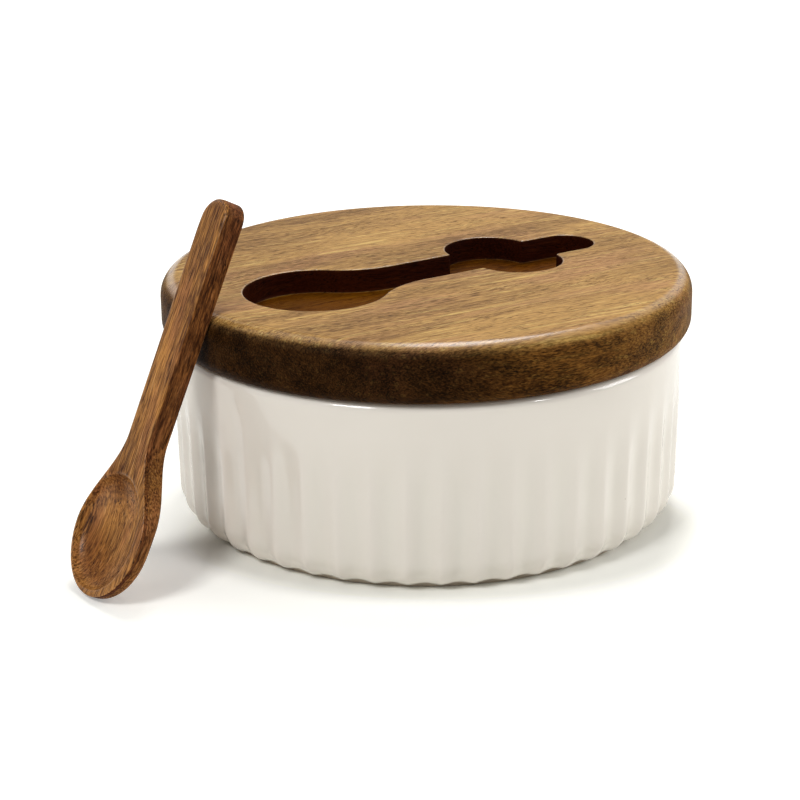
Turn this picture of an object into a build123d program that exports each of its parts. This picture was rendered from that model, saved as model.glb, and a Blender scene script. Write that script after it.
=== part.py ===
from build123d import *
import math
import os

# A round ribbed ceramic salt box with a lift-off wooden lid and a wooden spoon.
# Millimetres, +Z up. The origin is the centre of the bowl's foot, on the table.
# -Y is the front: the spoon leans on the lid's edge at the front left.

# bowl
bowl_height = 42.5
rim_radius = 58.1          # outside, at the rim
base_radius = 57.6         # outside, where the wall would meet the table without its rounding
base_round = 7.0           # rounding of the wall into the base
wall = 4.6                 # at the rim
bowl_floor = 5.0
inner_round = 9.0          # rounding of the wall into the floor, inside
rim_round = 1.6
foot_width = 7.0           # bare ring that the bowl stands on
foot_recess = 0.8          # how far the base is hollowed inside the foot
foot_bevel = 1.2

# flutes around the bowl
flute_count = 48
flute_depth = 1.0
flute_turn = 3.0           # degrees from the front (-Y) to the first crest, towards +X
smooth_band = 7.5          # plain band under the rim
flute_fade = 4.5           # height over which a flute comes up to its full depth
flute_points = 8           # points along one flute of a section

# lid
lid_overhang = 1.9         # beyond the rim
lid_thickness = 13.0
lid_top_round = 4.4
lid_bottom_round = 3.0
spigot_depth = 7.0         # how far the lid reaches into the bowl
spigot_clearance = 1.2     # around the spigot, inside the mouth
spigot_bevel = 1.0

# seal ring in a groove of the spigot
groove_below = 2.4         # from the lid's underside to the groove
groove_height = 2.6
groove_depth = 2.0
seal_slack = 0.1           # above and behind the ring in its groove
seal_clearance = 0.1       # between the ring's lips and the mouth
seal_lip = 0.7             # height of a lip at its tip

# spoon
spoon_length = 87.7
spoon_width = 26.0         # of its bowl
spoon_widest = 13.7        # from the tip to the widest place
neck_place = 35.0          # from the tip to the neck
neck_width = 8.4
handle_width = 9.2         # at the end
handle_thickness = 5.2
handle_corner = 4.2        # rounding of the end, seen from the front
belly_thickness = 6.4      # in the middle of its bowl
belly_edge = 1.9           # height of the straight side above the rounded back
belly_spread = 0.3         # how far the back's rounding would reach beyond the outline
front_edge_round = 0.7
back_edge_round = 1.0      # along the handle
hollow_margin = 1.2        # rim left around the hollow
hollow_depth = 3.8

# spoon-shaped pocket in the lid's top
pocket_depth = 5.5
pocket_angle = 33.5        # degrees, from +X towards +Y
pocket_shift = (-0.8, -2.1)    # its middle from the lid's centre, along and across the pocket
pocket_end_gap = 1.45      # around the spoon's ends
pocket_bowl_gap = 2.8      # around the spoon's bowl
pocket_handle_gap = 1.95   # beside the handle
pocket_neck_round = 20.0   # between the round end and the slot
pocket_edge_round = 0.5    # softened top edge
notch_width = 20.0         # finger notch across the handle
notch_length = 32.0
notch_from_end = 24.5      # from the slot's end to the notch's middle
notch_corner = 1.0         # where the notch meets the slot

# how the spoon leans on the lid
lean_place = 216.2         # degrees around the lid, from +X, of the touching point
lean_back = 27.3           # degrees from upright of the spoon's flat back
lean_side = 4.3            # degrees that the spoon turns in the plane of its back
lean_gap = 0.1             # between the spoon's back and the lid's rounded edge

# what follows from these
mouth_radius = rim_radius - wall
flute_top = bowl_height - smooth_band
lid_radius = rim_radius + lid_overhang
lid_top = bowl_height + lid_thickness
spigot_radius = mouth_radius - spigot_clearance
spigot_bottom = bowl_height - spigot_depth
groove_top = bowl_height - groove_below
groove_bottom = groove_top - groove_height
groove_radius = spigot_radius - groove_depth
foot_radius = base_radius - base_round


def wall_radius(z):
    """Outside radius of the bowl at height z, on the crests of its flutes."""
    radius = base_radius + (rim_radius - base_radius) * z / bowl_height
    if z < base_round:
        radius -= base_round - math.sqrt(base_round**2 - (base_round - z) ** 2)
    return radius


def depth_at(z):
    """Depth of the flutes at height z: it fades out at the top and eases at the foot."""
    share = min((flute_top - z) / flute_fade, 1)
    foot_share = 0.5 + 0.5 * min(z / base_round, 1)
    return flute_depth * share * share * (3 - 2 * share) * foot_share


def fluted_section(z):
    """Outline of the bowl at height z: a circle with hollow flutes between rounded crests."""
    points = []
    for step in range(flute_count * flute_points):
        angle = math.radians(flute_turn - 90) + 2 * math.pi * step / (flute_count * flute_points)
        place = step % flute_points / flute_points
        radius = wall_radius(z) - depth_at(z) * 4 * place * (1 - place)
        points.append((radius * math.cos(angle), radius * math.sin(angle)))
    return Plane.XY.offset(z) * make_face(Spline(points, periodic=True))


def turned(*corners):
    """A solid of revolution about Z from the corners (radius, height) of its half section."""
    return revolve(Plane.XZ * make_face(Polyline(*corners, close=True)), Axis.Z)


def make_bowl():
    # the rounding at the foot follows a quarter circle, the flutes' tops a smooth fade
    turns = (0, 18, 36, 54, 72, 90)
    heights = [base_round * (1 - math.cos(math.radians(turn))) for turn in turns]
    straight_top = flute_top - flute_fade
    heights += [(base_round + straight_top) / 2, straight_top]
    heights += [flute_top - flute_fade * share for share in (0.75, 0.5, 0.25, 0)]
    fluted = loft([fluted_section(z) for z in heights])
    band = turned(
        (0, flute_top), (wall_radius(flute_top), flute_top), (rim_radius, bowl_height), (0, bowl_height)
    )
    cavity_top = bowl_height + wall
    section = Plane.XZ * make_face(
        Polyline((0, bowl_floor), (mouth_radius, bowl_floor), (mouth_radius, cavity_top), (0, cavity_top),
                 close=True)
    )
    corner = section.vertices().sort_by(Axis.Z)[:2].sort_by(Axis.X)[-1]
    cavity = revolve(fillet(corner, inner_round), Axis.Z)
    recess_radius = foot_radius - foot_width
    recess = turned((0, 0), (recess_radius, 0), (recess_radius - foot_bevel, foot_recess), (0, foot_recess))
    bowl = fluted + band - cavity - recess
    rim_edges = bowl.edges().filter_by(GeomType.CIRCLE).group_by(Axis.Z)[-1]
    return fillet(rim_edges, rim_round)


def pocket_outline():
    """The pocket in its own plane: X along it towards the handle's end, centred on its length."""
    half_length = spoon_length / 2 + pocket_end_gap
    bowl_end = spoon_width / 2 + pocket_bowl_gap
    half_slot = handle_width / 2 + pocket_handle_gap
    round_end = Pos(bowl_end - half_length, 0) * Circle(bowl_end)
    slot_length = half_length - half_slot + half_length - bowl_end
    slot = Pos(half_length - half_slot - slot_length / 2, 0) * Rectangle(slot_length, 2 * half_slot)
    slot_end = Pos(half_length - half_slot, 0) * Circle(half_slot)
    spoon_shape = round_end + (slot + slot_end)
    necks = [v for v in spoon_shape.vertices() if v.X < 0 and abs(abs(v.Y) - half_slot) < 1e-3]
    spoon_shape = fillet(necks, pocket_neck_round)
    notch_place = half_length - notch_from_end
    notch = Pos(notch_place, 0) * Rot(0, 0, 90) * SlotOverall(notch_length, notch_width)
    outline = spoon_shape + notch
    corners = [
        v for v in outline.vertices()
        if abs(abs(v.X - notch_place) - notch_width / 2) < notch_width / 8
        and abs(abs(v.Y) - half_slot) < half_slot / 4
    ]
    return fillet(corners, notch_corner)


def make_lid():
    section = Plane.XZ * make_face(
        Polyline(
            (0, spigot_bottom), (spigot_radius - spigot_bevel, spigot_bottom),
            (spigot_radius, spigot_bottom + spigot_bevel), (spigot_radius, groove_bottom),
            (groove_radius, groove_bottom), (groove_radius, groove_top), (spigot_radius, groove_top),
            (spigot_radius, bowl_height), (lid_radius, bowl_height), (lid_radius, lid_top), (0, lid_top),
            close=True,
        )
    )
    edge = section.vertices().group_by(Axis.X)[-1].sort_by(Axis.Z)
    section = fillet(edge[0], lid_bottom_round)
    edge = section.vertices().group_by(Axis.Z)[-1].sort_by(Axis.X)
    section = fillet(edge[-1], lid_top_round)
    lid = revolve(section, Axis.Z)
    place = Pos(0, 0, lid_top - pocket_depth) * Rot(0, 0, pocket_angle) * Pos(*pocket_shift)
    lid -= place * extrude(pocket_outline(), pocket_depth)
    top = lid.faces().filter_by(Plane.XY).sort_by(Axis.Z)[-1]
    return fillet(top.inner_wires()[0].edges(), pocket_edge_round)


def make_seal_ring():
    """A ring with two lips: it stands on the groove's lower side and the lips reach the mouth."""
    inner = groove_radius + seal_slack
    outer = mouth_radius - seal_clearance
    bottom = groove_bottom
    top = groove_top - seal_slack
    body = (spigot_radius + inner) / 2
    middle = (bottom + top) / 2
    return turned(
        (inner, bottom), (body, bottom), (outer, bottom + seal_lip / 4), (outer, bottom + seal_lip),
        (body, middle), (outer, top - seal_lip), (outer, top - seal_lip / 4), (body, top), (inner, top)
    )


def spoon_outline():
    """The spoon from the front: X from the tip to the handle's end."""
    tip = EllipticalCenterArc(
        (spoon_widest, 0), spoon_widest, spoon_width / 2, start_angle=90, arc_size=180
    )
    run = neck_place - spoon_widest
    sides = []
    for side in (1, -1):
        shoulder = Spline(
            (spoon_widest, side * spoon_width / 2), (neck_place, side * neck_width / 2),
            tangents=((1, 0), (1, 0)), tangent_scalars=(1, 1),
        )
        sides += [
            shoulder,
            Line((neck_place, side * neck_width / 2), (spoon_length, side * handle_width / 2)),
        ]
    end = Line((spoon_length, handle_width / 2), (spoon_length, -handle_width / 2))
    outline = make_face([tip, *sides, end])
    corners = outline.vertices().group_by(Axis.X)[-1]
    return fillet(corners, handle_corner)


def spoon_side():
    """The spoon from the side: a flat front, and a back that rises from its belly to the handle."""
    rise = Spline(
        (spoon_widest, -belly_thickness), (neck_place, -handle_thickness), tangents=((1, 0), (1, 0))
    )
    rest = Polyline(
        (neck_place, -handle_thickness), (spoon_length, -handle_thickness), (spoon_length, 0), (0, 0),
        (0, -belly_thickness), (spoon_widest, -belly_thickness)
    )
    return Plane.XZ * make_face([rise, rest])


def spoon_back():
    """What lies above the rounded back: it ends round at the tip and runs straight to the handle."""
    half_section = make_face([
        CenterArc((0, 0), 1, 90, 90), Polyline((-1, 0), (spoon_length, 0), (spoon_length, 1), (0, 1))
    ])
    length = spoon_widest + belly_spread
    width = spoon_width / 2 + belly_spread
    rounding = scale(revolve(half_section, Axis.X), by=(length, width, belly_thickness - belly_edge))
    above = Pos(spoon_length / 2, 0, -belly_edge / 2) * Box(2 * spoon_length, 2 * spoon_width, belly_edge)
    return above + Pos(spoon_widest, 0, -belly_edge) * rounding


def make_spoon():
    blank = Pos(0, 0, -belly_thickness) * extrude(spoon_outline(), belly_thickness)
    blank &= extrude(spoon_side(), spoon_width, both=True)
    blank &= spoon_back()
    under = blank.faces().filter_by(Plane.XY).sort_by(Axis.Z)[0]
    spoon = fillet(under.edges().filter_by(GeomType.LINE).filter_by(Axis.Y, reverse=True), back_edge_round)
    front = spoon.faces().sort_by(Axis.Z)[-1]
    spoon = fillet(front.edges(), front_edge_round)
    hollow_length = spoon_widest - hollow_margin
    hollow_width = spoon_width / 2 - hollow_margin
    hollow = scale(Sphere(1), by=(hollow_length, hollow_width, hollow_depth))
    return spoon - Pos(spoon_widest, 0, 0) * hollow


def lean(spoon):
    """Stand the spoon on the table with its back against the lid's rounded top edge."""
    around = math.radians(lean_place)
    back = math.radians(lean_back)
    side = math.radians(lean_side)
    outward = Vector(math.cos(around), math.sin(around), 0)
    across = Vector(-math.sin(around), math.cos(around), 0)
    facing = outward * math.cos(back) + Vector(0, 0, math.sin(back))
    uphill = outward * -math.sin(back) + Vector(0, 0, math.cos(back))
    along = uphill * math.cos(side) - across * math.sin(side)
    round_centre = outward * (lid_radius - lid_top_round) + Vector(0, 0, lid_top - lid_top_round)
    touching = round_centre + facing * (lid_top_round + lean_gap + handle_thickness)
    frame = Plane(origin=touching, x_dir=along, z_dir=facing)
    leaning = frame * spoon
    lowest = leaning.bounding_box().min.Z
    return Pos(*(along * (-lowest / along.Z))) * leaning


pieces = {
    "bowl": make_bowl(),
    "lid": make_lid(),
    "seal_ring": make_seal_ring(),
    "spoon": lean(make_spoon()),
}
os.makedirs("parts", exist_ok=True)
for name, piece in pieces.items():
    export_step(piece, f"parts/{name}.step")
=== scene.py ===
import math

import bmesh
import bpy
import numpy as np
from mathutils import Matrix, Vector


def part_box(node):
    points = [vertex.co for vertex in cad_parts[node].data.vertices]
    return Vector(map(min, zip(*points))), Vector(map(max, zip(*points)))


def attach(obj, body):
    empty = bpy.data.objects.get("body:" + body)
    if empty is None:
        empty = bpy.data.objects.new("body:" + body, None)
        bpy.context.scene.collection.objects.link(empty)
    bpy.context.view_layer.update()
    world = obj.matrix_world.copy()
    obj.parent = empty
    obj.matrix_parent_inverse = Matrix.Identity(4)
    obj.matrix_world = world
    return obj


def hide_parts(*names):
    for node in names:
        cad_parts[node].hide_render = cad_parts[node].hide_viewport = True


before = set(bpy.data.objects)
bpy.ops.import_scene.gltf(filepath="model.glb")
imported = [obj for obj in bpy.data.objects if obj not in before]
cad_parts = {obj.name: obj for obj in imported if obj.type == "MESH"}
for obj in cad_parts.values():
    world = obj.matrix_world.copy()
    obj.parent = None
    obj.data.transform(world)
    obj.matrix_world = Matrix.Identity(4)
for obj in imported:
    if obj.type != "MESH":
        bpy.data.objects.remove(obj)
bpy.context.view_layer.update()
mm = 0.001
tiny = 1e-6          # a length that counts as none
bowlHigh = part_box("bowl")[1]
lidLow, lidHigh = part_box("lid")
ringLow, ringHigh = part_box("seal_ring")
print("frame loaded")

# lengths below are in millimetres unless a note says otherwise, and heights that pieces share come from the frame
rimHeight = bowlHigh.z / mm
lidTop = lidHigh.z / mm
lidRadius = lidHigh.x / mm
spigotBottom = lidLow.z / mm


def arc(centre, radius, start, end, steps):
    angles = np.radians(np.linspace(start, end, steps + 1))
    return [(centre[0] + radius * math.cos(a), centre[1] + radius * math.sin(a)) for a in angles]


def ease(share):
    share = np.clip(share, 0, 1)
    return share * share * (3 - 2 * share)


# a path through corners (x, y, rounding), with each rounding drawn as an arc between two holding points
def roundedPath(corners, steps=8, hold=0.35):
    places = [np.array(corner[:2], float) for corner in corners]
    path = [tuple(places[0])]
    for before, corner, after, size in zip(places, places[1:], places[2:], [c[2] for c in corners[1:]]):
        if not size:
            path.append(tuple(corner))
            continue
        back = (before - corner) / np.linalg.norm(before - corner)
        on = (after - corner) / np.linalg.norm(after - corner)
        half = math.acos(np.clip(back @ on, -1, 1)) / 2
        reach = size / math.tan(half)
        middle = corner + (back + on) / np.linalg.norm(back + on) * size / math.sin(half)
        first, last = corner + back * reach - middle, corner + on * reach - middle
        sweep = math.atan2(first[0] * last[1] - first[1] * last[0], first @ last)
        turn = math.atan2(first[1], first[0])
        path.append(tuple(corner + back * (reach + hold)))
        path += arc(middle, size, math.degrees(turn), math.degrees(turn + sweep), steps)
        path.append(tuple(corner + on * (reach + hold)))
    return path + [tuple(places[-1])]


# points and faces of closed rings joined one to the next; a ring of one point closes an end
def joinRings(rings):
    points, faces, starts = [], [], []
    for ring in rings:
        starts.append(len(points))
        points += [tuple(p) for p in ring]
    for low, high, lowRing, highRing in zip(starts, starts[1:], rings, rings[1:]):
        count = max(len(lowRing), len(highRing))
        for i in range(count):
            j = (i + 1) % count
            if len(lowRing) == 1:
                faces.append((low, high + j, high + i))
            elif len(highRing) == 1:
                faces.append((low + i, low + j, high))
            else:
                faces.append((low + i, low + j, high + j, high + i))
    return points, faces


def turnedRings(profile, segments):
    angles = np.linspace(0, 2 * math.pi, segments, endpoint=False)
    rings = []
    for radius, z in profile:
        if radius < tiny:
            rings.append([(0, 0, z)])
        else:
            rings.append([(radius * math.cos(a), radius * math.sin(a), z) for a in angles])
    return rings


# a smooth mesh object from points in millimetres, with one number per point for each attribute
def makePiece(name, points, faces, attributes=None):
    mesh = bpy.data.meshes.new(name)
    mesh.from_pydata([(x * mm, y * mm, z * mm) for x, y, z in points], [], faces)
    for key, values in (attributes or {}).items():
        mesh.attributes.new(key, "FLOAT", "POINT").data.foreach_set("value", np.array(values, np.float32))
    mesh.polygons.foreach_set("use_smooth", [True] * len(mesh.polygons))
    piece = bpy.data.objects.new(name, mesh)
    bpy.context.scene.collection.objects.link(piece)
    return piece


# makes a node; an input is given a number, a colour or the output that it is linked to
def addNode(tree, kind, inputs=None, **settings):
    made = tree.nodes.new(kind)
    for key, value in settings.items():
        setattr(made, key, value)
    for key, value in (inputs or {}).items():
        if isinstance(value, bpy.types.NodeSocket):
            tree.links.new(value, made.inputs[key])
        else:
            made.inputs[key].default_value = value
    return made


def mathNode(tree, operation, *values, clamp=False):
    return addNode(tree, "ShaderNodeMath", dict(enumerate(values)), operation=operation, use_clamp=clamp).outputs[0]


def mapped(tree, value, low, high, newLow=0.0, newHigh=1.0):
    inputs = {"Value": value, "From Min": low, "From Max": high, "To Min": newLow, "To Max": newHigh}
    return addNode(tree, "ShaderNodeMapRange", inputs, interpolation_type="SMOOTHSTEP").outputs[0]


def mixColour(tree, share, first, second, blend="MIX"):
    inputs = {0: share, 6: first, 7: second}
    return addNode(tree, "ShaderNodeMix", inputs, data_type="RGBA", blend_type=blend).outputs[2]


def vectorMath(tree, operation, *values, result=0):
    return addNode(tree, "ShaderNodeVectorMath", dict(enumerate(values)), operation=operation).outputs[result]


def scaledBy(tree, vector, scale):
    return addNode(tree, "ShaderNodeVectorMath", {0: vector, "Scale": scale}, operation="SCALE").outputs[0]


def dividedBy(tree, vector, size):
    return scaledBy(tree, vector, mathNode(tree, "DIVIDE", 1.0, size))


# noise in a space stretched along X: sizes are the features' length and width in the vector's own unit
def stretchedNoise(tree, vector, length, width, detail, roughness):
    scaled = vectorMath(tree, "MULTIPLY", vector, (1 / length, 1 / width, 1 / width))
    inputs = {"Vector": scaled, "Scale": 1.0, "Detail": detail, "Roughness": roughness}
    return addNode(tree, "ShaderNodeTexNoise", inputs).outputs[0]


# a shader group; an input's kind follows from its starting value: None for a vector, four numbers for a colour
def newGroup(name, inputs, outputs):
    tree = bpy.data.node_groups.new(name, "ShaderNodeTree")
    for title, start in inputs.items():
        kind = "Vector" if start is None else "Color" if isinstance(start, tuple) else "Float"
        socket = tree.interface.new_socket(title, in_out="INPUT", socket_type="NodeSocket" + kind)
        if start is not None:
            socket.default_value = start
    for title in outputs:
        kind = "Color" if title == "Colour" else "Float"
        tree.interface.new_socket(title, in_out="OUTPUT", socket_type="NodeSocket" + kind)
    return tree, addNode(tree, "NodeGroupInput").outputs, addNode(tree, "NodeGroupOutput").inputs


def newMaterial(name):
    material = bpy.data.materials.new(name)
    material.use_nodes = True
    material.node_tree.nodes.clear()
    shader = addNode(material.node_tree, "ShaderNodeBsdfPrincipled")
    addNode(material.node_tree, "ShaderNodeOutputMaterial", {"Surface": shader.outputs[0]})
    return material, material.node_tree, shader


# each noise of the grain: a feature's length and width, detail, roughness, and the noise values that become 0 and 1
# (none for the wander); bands, broad and blush are sized in band widths, lines and streaks in line widths, pores in
# pore widths, and the rest in millimetres
grainNoise = {
    "wander": (60, 22, 1.5, 0.5),
    "bands": (12, 1, 2.0, 0.5, 0.32, 0.68), "lines": (16, 1, 3.0, 0.65, 0.34, 0.66),
    "fibres": (2.8, 0.28, 2.0, 0.6, 0.32, 0.68), "broad": (9, 4.5, 1.0, 0.5, 0.36, 0.64),
    "blush": (5, 1.6, 2.0, 0.5, 0.45, 0.68), "streaks": (45, 1.2, 1.0, 0.5, 0.56, 0.70),
    "pores": (1, 1, 1.0, 0.5, 0.56, 0.66), "crowd": (30, 2.0, 1.0, 0.5, 0.35, 0.62),
    "coarse": (8.0, 3.0, 2.0, 0.5, 0.30, 0.70), "fine": (1.1, 0.28, 2.0, 0.6, 0.34, 0.66),
}
grainShares = {
    "wander": 9.0,                        # how far the grain wanders, in millimetres
    "blush": 0.6, "fibreHeight": 0.35,
    "poreDull": 0.6, "toneDull": 0.3,     # pores and dark wood shine less
    "fineMottle": 0.62,
}


def grainLayer(tree, vector, layer):
    *noise, low, high = grainNoise[layer]
    return mapped(tree, stretchedNoise(tree, vector, *noise), low, high)


# figured hardwood with its grain along X: broad bands, fine growth lines, fibres, open pores and end-grain mottle
def makeGrainGroup():
    tree, given, out = newGroup(
        "acaciaGrain",
        {
            "Vector": None, "Light": (0.6, 0.4, 0.2, 1), "Dark": (0.3, 0.17, 0.07, 1), "Pore": (0.06, 0.03, 0.01, 1),
            "Blush": (0.5, 0.3, 0.2, 1), "Streak": (0.7, 0.5, 0.3, 1),
            "Band Width": 7.0, "Line Width": 1.0, "Pore Width": 0.3, "Pore Length": 17.0,
            "Bands": 0.5, "Lines": 0.5, "Fibres": 0.5, "Pores": 0.5, "Broad": 0.3, "Streaks": 0.3,
        },
        ("Colour", "Height", "Dull", "Mottle"),
    )
    inMillimetres = scaledBy(tree, given["Vector"], 1 / mm)
    wander = stretchedNoise(tree, inMillimetres, *grainNoise["wander"])
    wanderBy = mathNode(tree, "MULTIPLY", mathNode(tree, "SUBTRACT", wander, 0.5), grainShares["wander"])
    shift = addNode(tree, "ShaderNodeCombineXYZ", {1: wanderBy, 2: wanderBy}).outputs[0]
    bent = vectorMath(tree, "ADD", inMillimetres, shift)
    byBand = dividedBy(tree, bent, given["Band Width"])
    byLine = dividedBy(tree, bent, given["Line Width"])
    shortening = mathNode(tree, "DIVIDE", 1.0, given["Pore Length"])
    poreStretch = addNode(tree, "ShaderNodeCombineXYZ", {0: shortening, 1: 1.0, 2: 1.0}).outputs[0]
    byPore = vectorMath(tree, "MULTIPLY", dividedBy(tree, bent, given["Pore Width"]), poreStretch)

    bands, broad, blush = (grainLayer(tree, byBand, layer) for layer in ("bands", "broad", "blush"))
    lines, streaks = (grainLayer(tree, byLine, layer) for layer in ("lines", "streaks"))
    fibres, crowd, coarse, fine = (grainLayer(tree, bent, layer) for layer in ("fibres", "crowd", "coarse", "fine"))
    pores = grainLayer(tree, byPore, "pores")
    poreMask = mathNode(tree, "MULTIPLY", mathNode(tree, "MULTIPLY", pores, crowd), given["Pores"], clamp=True)

    tone = mathNode(tree, "MULTIPLY", bands, given["Bands"])
    tone = mathNode(tree, "MULTIPLY_ADD", lines, given["Lines"], tone)
    tone = mathNode(tree, "MULTIPLY_ADD", mathNode(tree, "SUBTRACT", broad, 0.5), given["Broad"], tone)
    tone = mathNode(tree, "MULTIPLY_ADD", mathNode(tree, "SUBTRACT", fibres, 0.5), given["Fibres"], tone, clamp=True)
    colour = mixColour(tree, mathNode(tree, "MULTIPLY", blush, grainShares["blush"]), given["Light"], given["Blush"])
    colour = mixColour(tree, mathNode(tree, "MULTIPLY", streaks, given["Streaks"]), colour, given["Streak"])
    colour = mixColour(tree, tone, colour, given["Dark"])
    colour = mixColour(tree, poreMask, colour, given["Pore"])
    tree.links.new(colour, out["Colour"])
    height = mathNode(tree, "SUBTRACT", mathNode(tree, "MULTIPLY", fibres, grainShares["fibreHeight"]), poreMask)
    tree.links.new(height, out["Height"])
    dull = mathNode(tree, "MULTIPLY", tone, grainShares["toneDull"])
    tree.links.new(mathNode(tree, "MULTIPLY_ADD", poreMask, grainShares["poreDull"], dull), out["Dull"])
    mottle = mathNode(tree, "MULTIPLY", coarse, 1 - grainShares["fineMottle"])
    tree.links.new(mathNode(tree, "MULTIPLY_ADD", fine, grainShares["fineMottle"], mottle), out["Mottle"])
    return tree


# slow unevenness that breaks up a reflection, and a faint change of tone with it
def makeUnevenGroup():
    tree, given, out = newGroup(
        "handFinish",
        {"Vector": None, "Size": 12.0, "Speck Gap": 6.0, "Specks": 0.0},
        ("Tone", "Height", "Speck"),
    )
    inMillimetres = scaledBy(tree, given["Vector"], 1 / mm)
    bySize = dividedBy(tree, inMillimetres, given["Size"])
    slow = addNode(tree, "ShaderNodeTexNoise", {"Vector": bySize, "Scale": 1.0, "Detail": 2.0}).outputs[0]
    bySpeck = dividedBy(tree, inMillimetres, given["Speck Gap"])
    cells = addNode(tree, "ShaderNodeTexVoronoi", {"Vector": bySpeck, "Scale": 1.0})
    dotCore, dotEdge = 0.018, 0.04       # radii in shares of the gap between specks
    dots = mapped(tree, cells.outputs["Distance"], dotCore, dotEdge, 1.0, 0.0)
    chosen = addNode(tree, "ShaderNodeSeparateColor", {0: cells.outputs["Color"]}).outputs[0]
    rare = mathNode(tree, "LESS_THAN", chosen, given["Specks"])
    tree.links.new(slow, out["Tone"])
    tree.links.new(slow, out["Height"])
    tree.links.new(mathNode(tree, "MULTIPLY", dots, rare), out["Speck"])
    return tree


# the slopes of a face, as parts of its normal, between which an effect comes in
faceFades = {
    # farSide and endBack set where painted light lightens the side and end tints
    "farSide": (0.05, 0.6), "endBack": (0.0, 0.4), "sheen": (0.66, 0.90), "flat": (0.93, 0.995),
    "endOnSide": (0.0, 0.6),       # the side tint's share over which the end tint joins it
}


# how a board's faces are coloured: its sides and one end are darker, partly as end grain that drinks the oil and partly
# as painted shade on faces turned from the light, and milled walls and floors are darker yet, partly as dark cut wood
# and partly as painted shade in the pocket
def makeFacesGroup():
    tree, given, out = newGroup(
        "boardFaces",
        {
            "Normal": None, "Colour": (0.5, 0.5, 0.5, 1), "Mottle": 0.5,
            "Side Tint": (0.5, 0.5, 0.5, 1), "End Tint": (0.2, 0.2, 0.2, 1),
            "Wall Tint": (0.05, 0.05, 0.05, 1), "Floor Tint": (0.4, 0.4, 0.4, 1),
            "Side From": 0.3, "Side To": 0.9, "End From": -0.45, "End To": 0.0,    # parts of the normal
            "Far Side": 1.0, "End Back": 1.0, "Both Faces": 0.0, "Mottling": 1.0, "Flat Sheen": 0.3,
        },
        ("Colour", "Sheen"),
    )
    along, across, upright = addNode(tree, "ShaderNodeSeparateXYZ", {0: given["Normal"]}).outputs
    turnedOver = mathNode(tree, "MULTIPLY", given["Both Faces"], -2.0)
    level = mathNode(tree, "MULTIPLY_ADD", mathNode(tree, "MINIMUM", upright, 0.0), turnedOver, upright)
    # painted shade: the side tint darkens faces as they turn from the top, partly for the oil that they drink
    side = mapped(tree, level, given["Side From"], given["Side To"], 1.0, 0.0)
    # painted light: Far Side weakens the side tint on faces towards one end of the grain
    side = mathNode(tree, "MULTIPLY", side, mapped(tree, along, *faceFades["farSide"], 1.0, given["Far Side"]))
    end = mapped(tree, along, given["End From"], given["End To"], 1.0, 0.0)
    # painted light: End Back weakens the end tint on faces turned to one side across the grain
    end = mathNode(tree, "MULTIPLY", end, mapped(tree, across, *faceFades["endBack"], 1.0, given["End Back"]))
    wall, floor, paler = (
        addNode(tree, "ShaderNodeAttribute", attribute_name=key).outputs["Fac"] for key in ("cut", "sunk", "paler")
    )
    inner = mathNode(tree, "MAXIMUM", mathNode(tree, "MAXIMUM", wall, floor), paler)
    outer = mathNode(tree, "SUBTRACT", 1.0, inner, clamp=True)
    side = mathNode(tree, "MULTIPLY", side, outer)
    onSide = mathNode(tree, "MULTIPLY", outer, mapped(tree, side, *faceFades["endOnSide"]))
    end = mathNode(tree, "MULTIPLY", end, onSide)
    mottling = mathNode(tree, "MULTIPLY", mathNode(tree, "MAXIMUM", side, end), given["Mottling"])
    mottle = mathNode(tree, "MULTIPLY_ADD", mottling, mathNode(tree, "SUBTRACT", given["Mottle"], 0.5), 1.0)
    grey = addNode(tree, "ShaderNodeCombineColor", {0: mottle, 1: mottle, 2: mottle}).outputs[0]
    colour = mixColour(tree, 1.0, given["Colour"], grey, "MULTIPLY")
    # the side, end, floor and wall tints, each partly painted shade
    for share, tint in ((side, "Side Tint"), (end, "End Tint"), (floor, "Floor Tint"), (wall, "Wall Tint")):
        colour = mixColour(tree, share, colour, given[tint], "MULTIPLY")
    tree.links.new(colour, out["Colour"])
    facesUp = mapped(tree, level, *faceFades["sheen"])
    rounded = mapped(tree, level, *faceFades["flat"], 1.0, given["Flat Sheen"])
    tree.links.new(mathNode(tree, "MULTIPLY", outer, mathNode(tree, "MULTIPLY", facesUp, rounded)), out["Sheen"])
    return tree


grainGroup = makeGrainGroup()
unevenGroup = makeUnevenGroup()
facesGroup = makeFacesGroup()

lidWood = {
    "grain": {
        "Light": (0.50, 0.278, 0.076, 1), "Dark": (0.145, 0.064, 0.015, 1), "Pore": (0.085, 0.034, 0.008, 1),
        "Blush": (0.48, 0.232, 0.098, 1), "Streak": (0.66, 0.43, 0.13, 1),
        "Band Width": 8.0, "Line Width": 0.7, "Pore Width": 0.26, "Pore Length": 9.0,
        "Bands": 0.36, "Lines": 0.42, "Fibres": 0.66, "Pores": 0.85, "Broad": 0.38, "Streaks": 0.9,
    },
    "faces": {
        # partly painted shade: the Side and End tints darken the edge, and the Wall and Floor tints darken the pocket;
        # Far Side and End Back are painted light
        "Side Tint": (0.27, 0.205, 0.144, 1), "End Tint": (0.25, 0.235, 0.30, 1), "Wall Tint": (0.07, 0.022, 0.015, 1),
        "Floor Tint": (0.26, 0.15, 0.018, 1), "Side From": 0.35, "Side To": 0.97, "End From": -0.45, "End To": 0.0,
        "Far Side": 0.86, "End Back": 0.2, "Both Faces": 0.0, "Mottling": 1.7, "Flat Sheen": 0.16,
    },
    "turn": (0, 0, math.radians(-30)),     # brings the grain to X
    "place": (-0.132, 0.250, 0.159),       # metres: which part of the figure the lid shows
    "roughness": 0.5, "specular": 0.02, "coat": 1.0, "coatRoughness": 0.25,
}
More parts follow.
